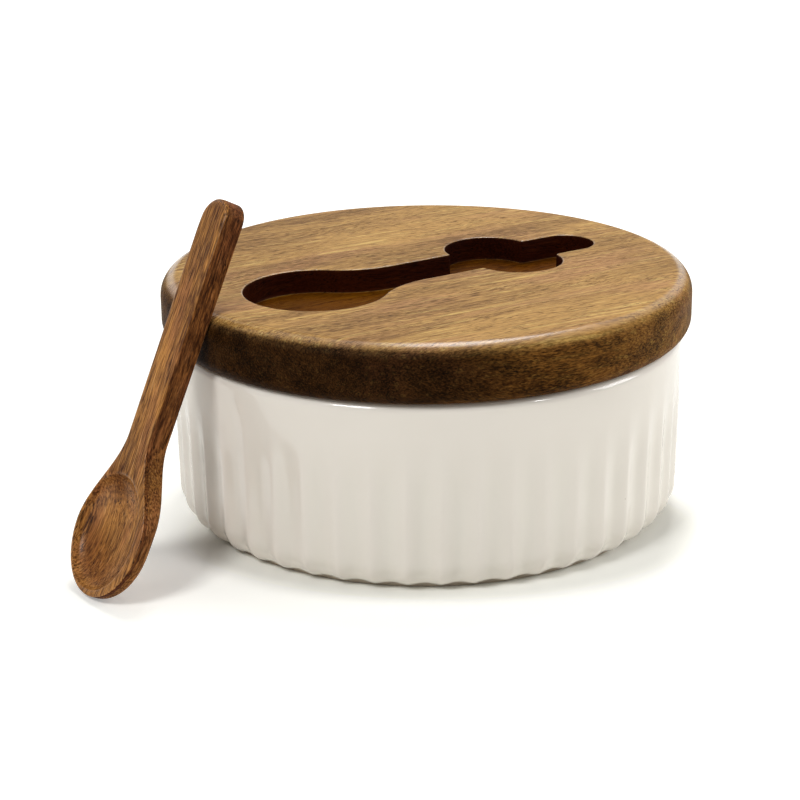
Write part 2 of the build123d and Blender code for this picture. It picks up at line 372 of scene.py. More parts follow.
spoonWood = {
    "grain": {
        "Light": (0.55, 0.242, 0.058, 1), "Dark": (0.095, 0.032, 0.008, 1), "Pore": (0.03, 0.010, 0.003, 1),
        "Blush": (0.46, 0.175, 0.065, 1), "Streak": (0.66, 0.34, 0.12, 1),
        "Band Width": 3.2, "Line Width": 0.38, "Pore Width": 0.20, "Pore Length": 38.0,
        "Bands": 0.30, "Lines": 0.70, "Fibres": 0.50, "Pores": 1.0, "Broad": 0.20, "Streaks": 0.6,
    },
    "faces": {
        # partly painted shade: the Side and End tints darken the sides, and the Floor Tint darkens the hollow's painted
        # shade and the knot
        "Side Tint": (0.48, 0.40, 0.42, 1), "End Tint": (0.55, 0.45, 0.62, 1), "Wall Tint": (0.5, 0.5, 0.5, 1),
        "Floor Tint": (0.55, 0.45, 0.42, 1), "Side From": 0.10, "Side To": 0.55, "End From": -0.60, "End To": -0.15,
        "Both Faces": 1.0, "Mottling": 0.8, "Flat Sheen": 0.28,
    },
    "place": (0, 0, 0),         # its turn follows from how the spoon leans
    "roughness": 0.5, "specular": 0.05, "coat": 0.6, "coatRoughness": 0.26,
}
woodSurface = {"dulling": 0.35, "bump": 0.5, "bumpHeight": 0.12}
glaze = {
    "colour": (0.825, 0.77, 0.70, 1), "thin": (0.80, 0.73, 0.64, 1), "pooled": (0.80, 0.76, 0.68, 1),
    "speck": (0.30, 0.22, 0.15, 1), "bare": (0.56, 0.47, 0.37, 1),
    "thinning": 0.25, "pooling": 0.6, "speckling": 0.5,         # how strongly each of those shows
    "unevenness": {"Size": 9.0, "Speck Gap": 7.0, "Specks": 0.12},
    "roughness": 0.11, "bareRoughness": 0.75, "bump": 0.35, "bumpHeight": 0.4,
}
silicone = {
    "colour": (0.86, 0.86, 0.84, 1), "dusty": (0.78, 0.78, 0.75, 1), "unevenness": {"Size": 5.0},
    "roughness": 0.38, "roughnessSpread": 0.2, "milkiness": 0.3, "milkyDepth": 2.0,
}


def useGroup(tree, group, inputs):
    return addNode(tree, "ShaderNodeGroup", inputs, node_tree=group).outputs


def addBump(tree, shader, height, values):
    inputs = {"Strength": values["bump"], "Distance": values["bumpHeight"] * mm, "Height": height}
    tree.links.new(addNode(tree, "ShaderNodeBump", inputs).outputs[0], shader.inputs["Normal"])


def makeWood(name, values):
    material, tree, shader = newMaterial(name)
    coordinates = addNode(tree, "ShaderNodeTexCoord").outputs
    turned = {"Vector": coordinates["Object"], "Rotation": values["turn"], "Location": values["place"]}
    place = addNode(tree, "ShaderNodeMapping", turned, vector_type="POINT")
    turned = {"Vector": coordinates["Normal"], "Rotation": values["turn"]}
    facing = addNode(tree, "ShaderNodeMapping", turned, vector_type="NORMAL")
    grain = useGroup(tree, grainGroup, {"Vector": place.outputs[0], **values["grain"]})
    surface = {"Normal": facing.outputs[0], "Colour": grain["Colour"], "Mottle": grain["Mottle"]}
    faces = useGroup(tree, facesGroup, {**surface, **values["faces"]})
    tree.links.new(faces["Colour"], shader.inputs["Base Color"])
    rough = mathNode(tree, "MULTIPLY_ADD", grain["Dull"], woodSurface["dulling"], values["roughness"], clamp=True)
    tree.links.new(rough, shader.inputs["Roughness"])
    tree.links.new(mathNode(tree, "MULTIPLY", faces["Sheen"], values["coat"]), shader.inputs["Coat Weight"])
    shader.inputs["Coat Roughness"].default_value = values["coatRoughness"]
    shader.inputs["Specular IOR Level"].default_value = values["specular"]
    addBump(tree, shader, grain["Height"], woodSurface)
    return material


def makeGlaze():
    material, tree, shader = newMaterial("ivoryGlaze")
    coordinates = addNode(tree, "ShaderNodeTexCoord").outputs
    uneven = useGroup(tree, unevenGroup, {"Vector": coordinates["Object"], **glaze["unevenness"]})
    hollow = addNode(tree, "ShaderNodeAttribute", attribute_name="hollow").outputs["Fac"]
    bare = addNode(tree, "ShaderNodeAttribute", attribute_name="bare").outputs["Fac"]
    colour = mixColour(tree, mathNode(tree, "MULTIPLY", hollow, glaze["pooling"]), glaze["colour"], glaze["pooled"])
    colour = mixColour(tree, mathNode(tree, "MULTIPLY", uneven["Tone"], glaze["thinning"]), colour, glaze["thin"])
    colour = mixColour(tree, mathNode(tree, "MULTIPLY", uneven["Speck"], glaze["speckling"]), colour, glaze["speck"])
    colour = mixColour(tree, bare, colour, glaze["bare"])
    tree.links.new(colour, shader.inputs["Base Color"])
    rough = mathNode(tree, "MULTIPLY_ADD", bare, glaze["bareRoughness"] - glaze["roughness"], glaze["roughness"])
    tree.links.new(rough, shader.inputs["Roughness"])
    addBump(tree, shader, uneven["Height"], glaze)
    return material


def makeSilicone():
    material, tree, shader = newMaterial("milkySilicone")
    coordinates = addNode(tree, "ShaderNodeTexCoord").outputs
    uneven = useGroup(tree, unevenGroup, {"Vector": coordinates["Object"], **silicone["unevenness"]})
    colour = mixColour(tree, uneven["Tone"], silicone["colour"], silicone["dusty"])
    tree.links.new(colour, shader.inputs["Base Color"])
    rough = mathNode(tree, "MULTIPLY_ADD", uneven["Tone"], silicone["roughnessSpread"], silicone["roughness"])
    tree.links.new(rough, shader.inputs["Roughness"])
    shader.inputs["Subsurface Weight"].default_value = silicone["milkiness"]
    shader.inputs["Subsurface Radius"].default_value = (silicone["milkyDepth"] * mm,) * 3
    return material


bowl = {
    "rimRadius": 58.1, "baseRadius": 57.6, "baseRound": 7.0, "wall": 4.6, "floor": 5.0, "innerRound": 9.0,
    "rimRound": 1.6, "outerRimRound": 2.0, "footWidth": 7.0, "footRecess": 0.8, "footBevel": 1.2, "edgeRound": 0.35,
    "fluteCount": 48, "fluteDepth": 0.85, "fluteTurn": 3.0, "smoothBand": 6.5, "fluteFade": 17.0,
    "crestSoftness": 0.5,                # 0 leaves a sharp ridge between two hollows, 1 a wave
    "footDepth": 0.6, "footReach": 12.0,   # how much deeper the flutes get at the foot, and from what height
    "arch": 0.85, "archReach": 4.0, "archSpread": 2.1,    # the edge under a hollow lifts off the table and spreads
    "ringRadius": 52.5, "ringTop": 0.28, "skirtStart": 17.5,  # the plain ring the flutes end above
    "bareMargin": 0.5,                   # bare clay inside the foot ring
    "pointsPerFlute": 16, "wallStep": 0.75, "skirtSteps": 22, "rimSteps": 12, "mouthSteps": 8, "innerSteps": 14,
}


# the flutes: points marked as outside move inwards by a row of hollows that fade out under the rim
def makeFluteTree(material):
    tree = bpy.data.node_groups.new("fluteRow", "GeometryNodeTree")
    sockets = [
        ("Flute Count", bowl["fluteCount"]), ("Flute Depth", bowl["fluteDepth"] * mm),
        ("First Crest", math.radians(bowl["fluteTurn"] - 90)), ("Top", (rimHeight - bowl["smoothBand"]) * mm),
        ("Fade", bowl["fluteFade"] * mm), ("Softness", bowl["crestSoftness"]),
        ("Foot Depth", bowl["footDepth"]), ("Foot Reach", bowl["footReach"] * mm),
        ("Arch", bowl["arch"] * mm), ("Arch Reach", bowl["archReach"] * mm), ("Arch Spread", bowl["archSpread"]),
        ("Ring Radius", bowl["ringRadius"] * mm),
    ]
    tree.interface.new_socket("Geometry", in_out="INPUT", socket_type="NodeSocketGeometry")
    settings = {}
    for title, value in sockets:
        socket = tree.interface.new_socket(title, in_out="INPUT", socket_type="NodeSocketFloat")
        settings[socket.identifier] = float(value)
    tree.interface.new_socket("Geometry", in_out="OUTPUT", socket_type="NodeSocketGeometry")
    given = addNode(tree, "NodeGroupInput").outputs
    place = addNode(tree, "GeometryNodeInputPosition").outputs[0]
    x, y, z = addNode(tree, "ShaderNodeSeparateXYZ", {0: place}).outputs
    angle = mathNode(tree, "SUBTRACT", mathNode(tree, "ARCTAN2", y, x), given["First Crest"])
    turns = mathNode(tree, "MULTIPLY", mathNode(tree, "DIVIDE", angle, 2 * math.pi), given["Flute Count"])
    # 0 to 1 from one crest to the next; whole turns are added so that it never starts below 0
    across = mathNode(tree, "FRACT", mathNode(tree, "ADD", turns, 4 * bowl["fluteCount"]))
    # a parabola and a wave, each 0 on a crest and 1 in the middle of a hollow
    sharp = mathNode(tree, "MULTIPLY", mathNode(tree, "MULTIPLY", across, mathNode(tree, "SUBTRACT", 1.0, across)), 4.0)
    wave = mathNode(tree, "COSINE", mathNode(tree, "MULTIPLY", across, 2 * math.pi))
    wave = mathNode(tree, "MULTIPLY", mathNode(tree, "SUBTRACT", 1.0, wave), 0.5)
    soft = mathNode(tree, "MULTIPLY", wave, given["Softness"])
    hollow = mathNode(tree, "MULTIPLY_ADD", sharp, mathNode(tree, "SUBTRACT", 1.0, given["Softness"]), soft)
    faded = mathNode(tree, "DIVIDE", mathNode(tree, "SUBTRACT", given["Top"], z), given["Fade"])
    faded = mapped(tree, faded, 0.0, 1.0)
    nearFoot = mathNode(tree, "SUBTRACT", 1.0, mathNode(tree, "DIVIDE", z, given["Foot Reach"], clamp=True))
    foot = mathNode(tree, "MULTIPLY_ADD", nearFoot, given["Foot Depth"], 1.0)
    nearTable = mathNode(tree, "SUBTRACT", 1.0, mathNode(tree, "DIVIDE", z, given["Arch Reach"], clamp=True))
    outside = addNode(tree, "GeometryNodeInputNamedAttribute", {"Name": "outside"}, data_type="FLOAT").outputs[0]
    share = mathNode(tree, "MULTIPLY", mathNode(tree, "MULTIPLY", hollow, faded), outside)
    depth = mathNode(tree, "MULTIPLY", mathNode(tree, "MULTIPLY", share, foot), given["Flute Depth"])
    radial = addNode(tree, "ShaderNodeCombineXYZ", {0: x, 1: y}).outputs[0]
    outwards = vectorMath(tree, "NORMALIZE", radial)
    lift = mathNode(tree, "MULTIPLY", mathNode(tree, "MULTIPLY", share, nearTable), given["Arch"])
    spread = mathNode(tree, "SUBTRACT", mathNode(tree, "MULTIPLY", lift, given["Arch Spread"]), depth)
    radius = vectorMath(tree, "LENGTH", radial, result="Value")
    tolerance = 0.05 * mm
    offRing = mathNode(tree, "GREATER_THAN", mathNode(tree, "SUBTRACT", radius, given["Ring Radius"]), tolerance)
    spread = mathNode(tree, "MULTIPLY", spread, offRing)
    lifted = addNode(tree, "ShaderNodeCombineXYZ", {2: lift}).outputs[0]
    offset = vectorMath(tree, "ADD", scaledBy(tree, outwards, spread), lifted)
    stored = addNode(
        tree, "GeometryNodeStoreNamedAttribute", {"Geometry": given["Geometry"], "Name": "hollow", "Value": share},
        data_type="FLOAT", domain="POINT",
    ).outputs[0]
    moved = addNode(tree, "GeometryNodeSetPosition", {"Geometry": stored, "Offset": offset}).outputs[0]
    real = addNode(tree, "GeometryNodeRealizeInstances", {"Geometry": moved}).outputs[0]
    coloured = addNode(tree, "GeometryNodeSetMaterial", {"Geometry": real, "Material": material}).outputs[0]
    addNode(tree, "NodeGroupOutput", {0: coloured})
    return tree, settings


# the evaluated result of an object's modifiers, as a plain mesh object
def bakeModifiers(piece):
    name = piece.name
    evaluated = piece.evaluated_get(bpy.context.evaluated_depsgraph_get())
    mesh = bpy.data.meshes.new_from_object(evaluated)
    old = piece.data
    piece.modifiers.clear()
    piece.data = mesh
    bpy.data.meshes.remove(old)
    mesh.name = name
    return piece


def makeBowl():
    footRadius = bowl["baseRadius"] - bowl["baseRound"]
    recessRadius = footRadius - bowl["footWidth"]
    mouth = bowl["rimRadius"] - bowl["wall"]
    small = bowl["edgeRound"]
    under = roundedPath([
        (0, bowl["footRecess"], 0), (recessRadius - bowl["footBevel"], bowl["footRecess"], small),
        (recessRadius, 0, small), (bowl["ringRadius"], 0, 0), (bowl["ringRadius"], bowl["ringTop"], 0),
    ])
    slope = (bowl["rimRadius"] - bowl["baseRadius"]) / rimHeight
    skirt = arc((footRadius, bowl["baseRound"]), bowl["baseRound"], bowl["skirtStart"] - 90, 0, bowl["skirtSteps"])
    skirt = [(r + slope * z, z) for r, z in skirt]
    shoulder, lip = bowl["outerRimRound"], bowl["rimRound"]
    wallTop = rimHeight - shoulder
    rows = int((wallTop - bowl["baseRound"]) / bowl["wallStep"])
    wall = [(bowl["baseRadius"] + slope * z, z) for z in np.linspace(bowl["baseRound"], wallTop, rows)[1:-1]]
    rim = arc((bowl["rimRadius"] - shoulder, wallTop), shoulder, 0, 90, bowl["rimSteps"])
    rim += arc((mouth + lip, rimHeight - lip), lip, 90, 180, bowl["mouthSteps"])
    corners = [(mouth, rimHeight - lip, 0), (mouth, bowl["floor"], bowl["innerRound"]), (0, bowl["floor"], 0)]
    inside = roundedPath(corners, steps=bowl["innerSteps"])[1:]
    profile = under + skirt + wall + rim + inside
    rings = turnedRings(profile, bowl["fluteCount"] * bowl["pointsPerFlute"])
    points, faces = joinRings(rings)
    outside, bare = [], []
    firstOut, lastOut = len(under) - 1, len(under) + len(skirt) + len(wall)
    for i, ring in enumerate(rings):
        outside += [float(firstOut <= i < lastOut)] * len(ring)
        bare += [float(i <= firstOut and profile[i][0] > recessRadius - bowl["bareMargin"])] * len(ring)
    piece = makePiece("fluted_bowl", points, faces, {"outside": outside, "bare": bare})
    modifier = piece.modifiers.new("flutes", "NODES")
    modifier.node_group, settings = makeFluteTree(glazeFinish)
    for identifier, value in settings.items():
        modifier[identifier] = value
    piece = bakeModifiers(piece)
    print("bowl made,", len(piece.data.polygons), "faces")
    return piece


lid = {
    "topRound": 4.4, "bottomRound": 3.4, "spigotRadius": 52.3, "spigotBevel": 0.9, "edgeRound": 0.25,
    "grooveBelow": 2.4, "grooveHeight": 2.6, "grooveDepth": 2.0,
    "flatRadius": 54.6,      # within it the flat top is filled around the pocket
    "segments": 288, "roundSteps": 12,
}
pocket = {
    "depth": 5.5, "angle": 33.5, "shift": (-0.8, -2.1), "halfLength": 45.3, "bowlRadius": 15.8, "halfSlot": 6.55,
    "neckRound": 20.0, "edgeRound": 0.5, "floorRound": 0.7, "hold": 0.35,
    "notchWidth": 20.0, "notchLength": 32.0, "notchFromEnd": 24.5, "notchCorner": 1.0,
    "roundSteps": 5, "wallSteps": 5,
    "tintRows": 4,        # rows of points at its top as pale as the lid, and as many at its foot tinted as floor
}


# the pocket's outline as points with the direction out of the pocket, from its round end to its slot's end
def pocketOutline():
    slot, neck, corner = pocket["halfSlot"], pocket["neckRound"], pocket["notchCorner"]
    roundX = pocket["bowlRadius"] - pocket["halfLength"]
    endX = pocket["halfLength"] - slot
    notchX = pocket["halfLength"] - pocket["notchFromEnd"]
    notchR = pocket["notchWidth"] / 2
    notchY = pocket["notchLength"] / 2 - notchR
    neckY = slot + neck
    neckX = roundX + math.sqrt((pocket["bowlRadius"] + neck) ** 2 - neckY**2)
    neckTurn = math.degrees(math.atan2(neckY, neckX - roundX))
    cornerY = slot + corner
    reach = math.sqrt((notchR + corner) ** 2 - (cornerY - notchY) ** 2)
    cornerTurn = math.degrees(math.atan2(cornerY - notchY, reach))
    # centre, radius, start and end in degrees, steps, and 1 where the centre lies in the pocket
    runs = [
        ((roundX, 0), pocket["bowlRadius"], 180, neckTurn, 40, 1),
        ((neckX, neckY), neck, 180 + neckTurn, 270, 22, -1),
        ((notchX - reach, cornerY), corner, 270, 360 - cornerTurn, 7, -1),
        ((notchX, notchY), notchR, 180 - cornerTurn, cornerTurn, 40, 1),
        ((notchX + reach, cornerY), corner, 180 + cornerTurn, 270, 7, -1),
        ((endX, 0), slot, 90, 0, 16, 1),
    ]
    half = []
    for centre, radius, start, end, steps, side in runs:
        for x, y in arc(centre, radius, start, end, steps):
            if not half or math.dist((x, y), half[-1][:2]) > tiny:
                half.append((x, y, side * (x - centre[0]) / radius, side * (y - centre[1]) / radius))
    other = [(x, -y, nx, -ny) for x, y, nx, ny in half[-2:0:-1]]
    return np.array(half + other)


def pocketRing(outline, out, z):
    turn = math.radians(pocket["angle"])
    x = outline[:, 0] + outline[:, 2] * out + pocket["shift"][0]
    y = outline[:, 1] + outline[:, 3] * out + pocket["shift"][1]
    return [(a * math.cos(turn) - b * math.sin(turn), a * math.sin(turn) + b * math.cos(turn), z) for a, b in zip(x, y)]


# fills the flat area between loops of points that are already in the mesh
def fillBetween(mesh, loops):
    edges = []
    for loop in loops:
        for first, second in zip(loop, loop[1:] + loop[:1]):
            edges.append(mesh.edges.get((first, second)) or mesh.edges.new((first, second)))
    bmesh.ops.triangle_fill(mesh, use_beauty=True, use_dissolve=False, edges=edges, normal=(0, 0, 1))


def makeLid():
    grooveTop = rimHeight - lid["grooveBelow"]
    grooveBottom = grooveTop - lid["grooveHeight"]
    grooveRadius = lid["spigotRadius"] - lid["grooveDepth"]
    small = lid["edgeRound"]
    spigot = lid["spigotRadius"]
    profile = roundedPath([
        (lid["flatRadius"], lidTop, 0), (lidRadius, lidTop, lid["topRound"]),
        (lidRadius, rimHeight, lid["bottomRound"]), (spigot, rimHeight, small),
        (spigot, grooveTop, small), (grooveRadius, grooveTop, small),
        (grooveRadius, grooveBottom, small), (spigot, grooveBottom, small),
        (spigot, spigotBottom, lid["spigotBevel"]), (0, spigotBottom, 0),
    ], lid["roundSteps"])
    points, faces = joinRings(turnedRings(profile, lid["segments"]))

    outline = pocketOutline()
    edge, corner, bottom = pocket["edgeRound"], pocket["floorRound"], lidTop - pocket["depth"]
    rows = [(edge + pocket["hold"], lidTop)]
    rows += arc((edge, lidTop - edge), edge, 90, 180, pocket["roundSteps"])
    rows += [(0, z) for z in np.linspace(lidTop - edge, bottom + corner, pocket["wallSteps"])[1:-1]]
    rows += arc((-corner, bottom + corner), corner, 0, -90, pocket["roundSteps"])
    rows += [(-corner - pocket["hold"], bottom)]
    morePoints, moreFaces = joinRings([pocketRing(outline, out, z) for out, z in rows])
    base = len(points)
    faces += [tuple(base + i for i in face) for face in moreFaces]
    points += morePoints
    cut, sunk = [0.0] * base, [0.0] * base
    firstFloor = len(rows) - pocket["tintRows"]
    for i in range(len(rows)):
        cut += [float(pocket["tintRows"] <= i < firstFloor)] * len(outline)
        sunk += [float(i >= firstFloor)] * len(outline)

    mesh = bmesh.new()
    mesh.verts.layers.float.new("cut")
    mesh.verts.layers.float.new("sunk")
    layers = [mesh.verts.layers.float[key] for key in ("cut", "sunk")]
    made = [mesh.verts.new((x * mm, y * mm, z * mm)) for x, y, z in points]
    for face in faces:
        mesh.faces.new([made[i] for i in face])
    for vert, *values in zip(made, cut, sunk):
        for layer, value in zip(layers, values):
            vert[layer] = value
    size = len(outline)
    fillBetween(mesh, [made[:lid["segments"]], made[base:base + size]])
    fillBetween(mesh, [made[-size:]])
    bmesh.ops.recalc_face_normals(mesh, faces=mesh.faces)
    for face in mesh.faces:
        face.smooth = True
    data = bpy.data.meshes.new("pocket_lid")
    mesh.to_mesh(data)
    mesh.free()
    piece = bpy.data.objects.new("pocket_lid", data)
    bpy.context.scene.collection.objects.link(piece)
    data.materials.append(lidFinish)
    print("lid made,", len(data.polygons), "faces")
    return piece


ring = {"slack": 0.1, "lip": 0.7, "edgeRound": 0.12, "segments": 240, "roundSteps": 4, "hold": 0.05}


def makeRing():
    inner = lid["spigotRadius"] - lid["grooveDepth"] + ring["slack"]
    outer = ringHigh.x / mm
    bottom, top = ringLow.z / mm, ringHigh.z / mm
    body = (lid["spigotRadius"] + inner) / 2
    middle, lip, small = (bottom + top) / 2, ring["lip"], ring["edgeRound"]
    profile = roundedPath([
        (inner, middle, 0), (inner, bottom, small), (body, bottom, small), (outer, bottom + lip / 4, small),
        (outer, bottom + lip, small), (body, middle, small), (outer, top - lip, small), (outer, top - lip / 4, small),
        (body, top, small), (inner, top, small), (inner, middle, 0),
    ], ring["roundSteps"], ring["hold"])[:-1]
    rings = turnedRings(profile, ring["segments"])
    points, faces = joinRings(rings + rings[:1])
    count = len(rings) * ring["segments"]
    faces = [tuple(i % count for i in face) for face in faces]
    piece = makePiece("silicone_ring", points[:count], faces)
    piece.data.materials.append(siliconeFinish)
    print("seal ring made")
    return piece


# of the powers, 2 rounds a section evenly and a higher one leaves it squarer
spoon = {
    "length": 87.7, "width": 26.0, "widest": 13.7, "neckPlace": 35.0, "neckWidth": 8.4, "handleWidth": 9.2,
    "handleThickness": 5.2, "handleCorner": 4.2, "belly": 6.4, "bellyEdge": 1.9, "bellyPower": 2.0,
    "handleEdge": 4.1, "handlePower": 7.0, "frontRound": 1.1, "frontPower": 9.0,
    "endRound": 0.8, "endPower": 4.5, "endReach": 8.0,
    "hollowMargin": 1.25, "hollowSide": 1.75, "hollowShift": 1.2, "hollowDepth": 4.4, "rimSoftness": 0.03,
    "hollowEnd": 0.9,                    # share of the way to the edge by which the hollow starts to run out
    # painted shade: darkening deep in the hollow, most near the tip and leaning onto one wall
    "darkening": 0.85, "hollowShadeDepth": 1.6, "hollowShadeFrom": 2.5, "hollowShadeFade": 11.0, "hollowShadeLean": 0.75,
    "knot": 0.95, "knotX": 24.0, "knotY": 4.0, "knotRadius": 4.0,
    # painted light: paler lifts the side tint towards the tip, standing in for a sheen on the sides
    "paler": 0.55, "palerStart": 44.0, "palerFade": 18.0,     # the sides pale from here to the tip
    "spineStart": 9.5, "spineEnd": 84.0, "around": 480, "frontRings": 60, "sideRings": 5, "backRings": 26,
    "frontCrowding": 1.6, "backCrowding": 2.2,                # above 1, rings gather at the edge
    "tipPoints": 400, "sidePoints": 800,                      # of the outline before it gets even steps
}
lean = {"place": 216.2, "back": 27.3, "side": 4.3, "gap": 0.1}


def spoonHalfWidth(x):
    widest, half, neck = spoon["widest"], spoon["width"] / 2, spoon["neckWidth"] / 2
    tip = half * np.sqrt(np.clip(1 - ((widest - x) / widest) ** 2, 0, 1))
    shoulder = half + (neck - half) * ease((x - widest) / (spoon["neckPlace"] - widest))
    alongHandle = (x - spoon["neckPlace"]) / (spoon["length"] - spoon["neckPlace"])
    handle = neck + (spoon["handleWidth"] / 2 - neck) * alongHandle
    width = np.where(x < widest, tip, np.where(x < spoon["neckPlace"], shoulder, handle))
    past = np.clip(x - (spoon["length"] - spoon["handleCorner"]), 0, spoon["handleCorner"])
    return width - spoon["handleCorner"] + np.sqrt(spoon["handleCorner"] ** 2 - past**2)


# the outline's points at equal steps, from the tip along one side and back along the other
def spoonOutline():
    turn = np.linspace(0, math.pi / 2, spoon["tipPoints"])
    x = np.concatenate([
        spoon["widest"] * (1 - np.cos(turn)),
        np.linspace(spoon["widest"], spoon["length"] - spoon["handleCorner"], spoon["sidePoints"])[1:],
        spoon["length"] - spoon["handleCorner"] * (1 - np.sin(turn[1:])),
    ])
    y = spoonHalfWidth(x)
    x, y = np.append(x, spoon["length"]), np.append(y, 0)
    run = np.concatenate([[0], np.cumsum(np.hypot(np.diff(x), np.diff(y)))])
    even = np.linspace(0, run[-1], spoon["around"] // 2 + 1)
    x, y = np.interp(even, run, x), np.interp(even, run, y)
    return np.concatenate([x, x[-2:0:-1]]), np.concatenate([y, -y[-2:0:-1]])


# the spoon's rings in its own frame: X from the tip along it, Z out of its flat front, which lies at 0
def makeSpoonPoints():
    outX, outY = spoonOutline()
    spineX = np.clip(outX, spoon["spineStart"], spoon["spineEnd"])
    widest = spoon["widest"]

    def ringAt(share):
        return spineX + (outX - spineX) * share, outY * share

    def hollowAt(x, y):
        length, width = widest - spoon["hollowMargin"], spoon["width"] / 2 - spoon["hollowSide"]
        inside = 1 - ((x - widest) / length) ** 2 - ((y - spoon["hollowShift"]) / width) ** 2
        return spoon["hollowDepth"] * np.sqrt((inside + np.sqrt(inside**2 + spoon["rimSoftness"] ** 2)) / 2)

    towardsHandle = ease((outX - widest) / (spoon["neckPlace"] - widest))
    power = spoon["bellyPower"] + (spoon["handlePower"] - spoon["bellyPower"]) * towardsHandle
    edge = spoon["bellyEdge"] + (spoon["handleEdge"] - spoon["bellyEdge"]) * towardsHandle
    atEnd = ease((outX - spoon["length"] + spoon["endReach"]) / spoon["endReach"])
    front = spoon["frontRound"] + spoon["endRound"] * atEnd
    frontPower = spoon["frontPower"] + (spoon["endPower"] - spoon["frontPower"]) * atEnd
    rings = []
    for share in 1 - (1 - np.linspace(0, 1, spoon["frontRings"])) ** spoon["frontCrowding"]:
        x, y = ringAt(share)
        rolled = front * (1 - (1 - share**frontPower) ** (1 / frontPower))
        z = -rolled - hollowAt(x, y) * (1 - ease((share - spoon["hollowEnd"]) / (1 - spoon["hollowEnd"])))
        rings.append(np.stack([x, y, z], 1))
    for share in np.linspace(0, 1, spoon["sideRings"] + 1)[1:]:
        z = -front - (edge - front) * share
        rings.append(np.stack([outX, outY, z], 1))
    for share in (1 - np.linspace(0, 1, spoon["backRings"]) ** spoon["backCrowding"])[1:]:
        x, y = ringAt(share)
        towardsNeck = ease((x - widest) / (spoon["neckPlace"] - widest))
        middle = spoon["belly"] + (spoon["handleThickness"] - spoon["belly"]) * towardsNeck
        z = -edge - (middle - edge) * (1 - share**power) ** (1 / power)
        rings.append(np.stack([x, y, z], 1))
    return rings


# how dark the front is: painted shade in the hollow, most near the tip and on one wall, and the wood's own dark colour
# all round a knot
def frontDarkening(points):
    darkening = []
    for x, y, z in points:
        deep = ease((-z - spoon["frontRound"]) / spoon["hollowShadeDepth"])
        low = 1 - ease((x - spoon["hollowShadeFrom"] - y * spoon["hollowShadeLean"]) / spoon["hollowShadeFade"])
        knot = math.exp(-((x - spoon["knotX"]) ** 2 + (y - spoon["knotY"]) ** 2) / spoon["knotRadius"] ** 2)
        darkening.append(max(float(deep * low) * spoon["darkening"], knot * spoon["knot"]))
    return darkening


# the leaning spoon's three directions, and where the origin of its own frame lies before it slides to the table
def leanFrame():
    around, back, side = (math.radians(lean[key]) for key in ("place", "back", "side"))
    outward = np.array([math.cos(around), math.sin(around), 0])
    across = np.array([-math.sin(around), math.cos(around), 0])
    upward = np.array([0, 0, 1.0])
    facing = outward * math.cos(back) + upward * math.sin(back)
    uphill = upward * math.cos(back) - outward * math.sin(back)
    along = uphill * math.cos(side) - across * math.sin(side)
    roundCentre = outward * (lidRadius - lid["topRound"]) + upward * (lidTop - lid["topRound"])
    touching = roundCentre + facing * (lid["topRound"] + lean["gap"] + spoon["handleThickness"])
    return along, np.cross(facing, along), facing, touching


def makeSpoon():
    along, sideways, facing, touching = leanFrame()
    rings = makeSpoonPoints()
    placed = [touching + ring @ np.stack([along, sideways, facing]) for ring in rings]
    lowest = min(ring[:, 2].min() for ring in placed)
    placed = [ring - along * lowest / along[2] for ring in placed]
    points, faces = joinRings(placed)
    own = np.concatenate(rings)
    frontCount = spoon["frontRings"] * spoon["around"]
    darkening = frontDarkening(own[:frontCount]) + [0.0] * (len(own) - frontCount)
    # painted light: a sheen on the sides towards the tip
    paler = spoon["paler"] * ease((spoon["palerStart"] - own[:, 0]) / spoon["palerFade"])
    paler[:frontCount] = 0
    piece = makePiece("leaning_spoon", points, faces, {"sunk": darkening, "paler": paler})
    mesh = bmesh.new()
    mesh.from_mesh(piece.data)
    bmesh.ops.remove_doubles(mesh, verts=mesh.verts, dist=0.002 * mm)
    bmesh.ops.dissolve_degenerate(mesh, edges=mesh.edges, dist=0.001 * mm)
    bmesh.ops.recalc_face_normals(mesh, faces=mesh.faces)
    mesh.to_mesh(piece.data)
    mesh.free()
    piece.data.materials.append(spoonFinish)
    print("spoon made,", len(piece.data.polygons), "faces")
    return piece


spoonWood["turn"] = tuple(Matrix([tuple(axis) for axis in leanFrame()[:3]]).to_euler("XYZ"))
glazeFinish = makeGlaze()
siliconeFinish = makeSilicone()
lidFinish = makeWood("oiledLidWood", lidWood)
spoonFinish = makeWood("oiledSpoonWood", spoonWood)
print("finishes made")

for make, body, node, slot in (
    (makeBowl, "bowl", "bowl", "glaze"),
    (makeLid, "lid", "lid", "lid_wood"),
    (makeRing, "lid", "seal_ring", "silicone"),
    (makeSpoon, "spoon", "spoon", "spoon_wood"),
):
    piece = make()
    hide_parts(node)
    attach(piece, body)

# lengths of the studio and the camera are in metres
studio = {
    "floorSize": 3.0, "floorHeight": -0.0001, "floorColour": (0.93, 0.93, 0.88, 1),
    "floorRoughness": 0.9, "floorSpecular": 0.1,
    # the background's white: it comes in around an ellipse near the object, and grows towards the horizon
    "farLift": 0.28, "liftCentre": (-0.004, 0.047, 0), "liftStretch": (1.4, 2.16, 1.0),
    "liftFrom": 0.0735, "liftTo": 0.0905, "horizonLift": 0.7, "horizonFrom": 0.3, "horizonTo": 1.2,
    "worldLight": 0.22, "reach": 0.85, "aim": (0, 0, 0.03),
    # each lamp: degrees around from +X, degrees up from the table, width, height, watts
    "lamps": {
        "stripLamp": (80, 60, 0.22, 0.65, 3.9), "leftLamp": (-127, 44, 0.22, 0.22, 3.15),
        "rightLamp": (0, 20, 0.32, 0.32, 2.3), "hookLamp": (-33, 41, 0.08, 0.08, 0.6),
    },
}
camera = {
    "distance": 0.4857, "elevation": 22.06, "yaw": -0.79, "pitch": 19.47, "roll": -0.69, "lens": 92.7, "sensor": 36,
}


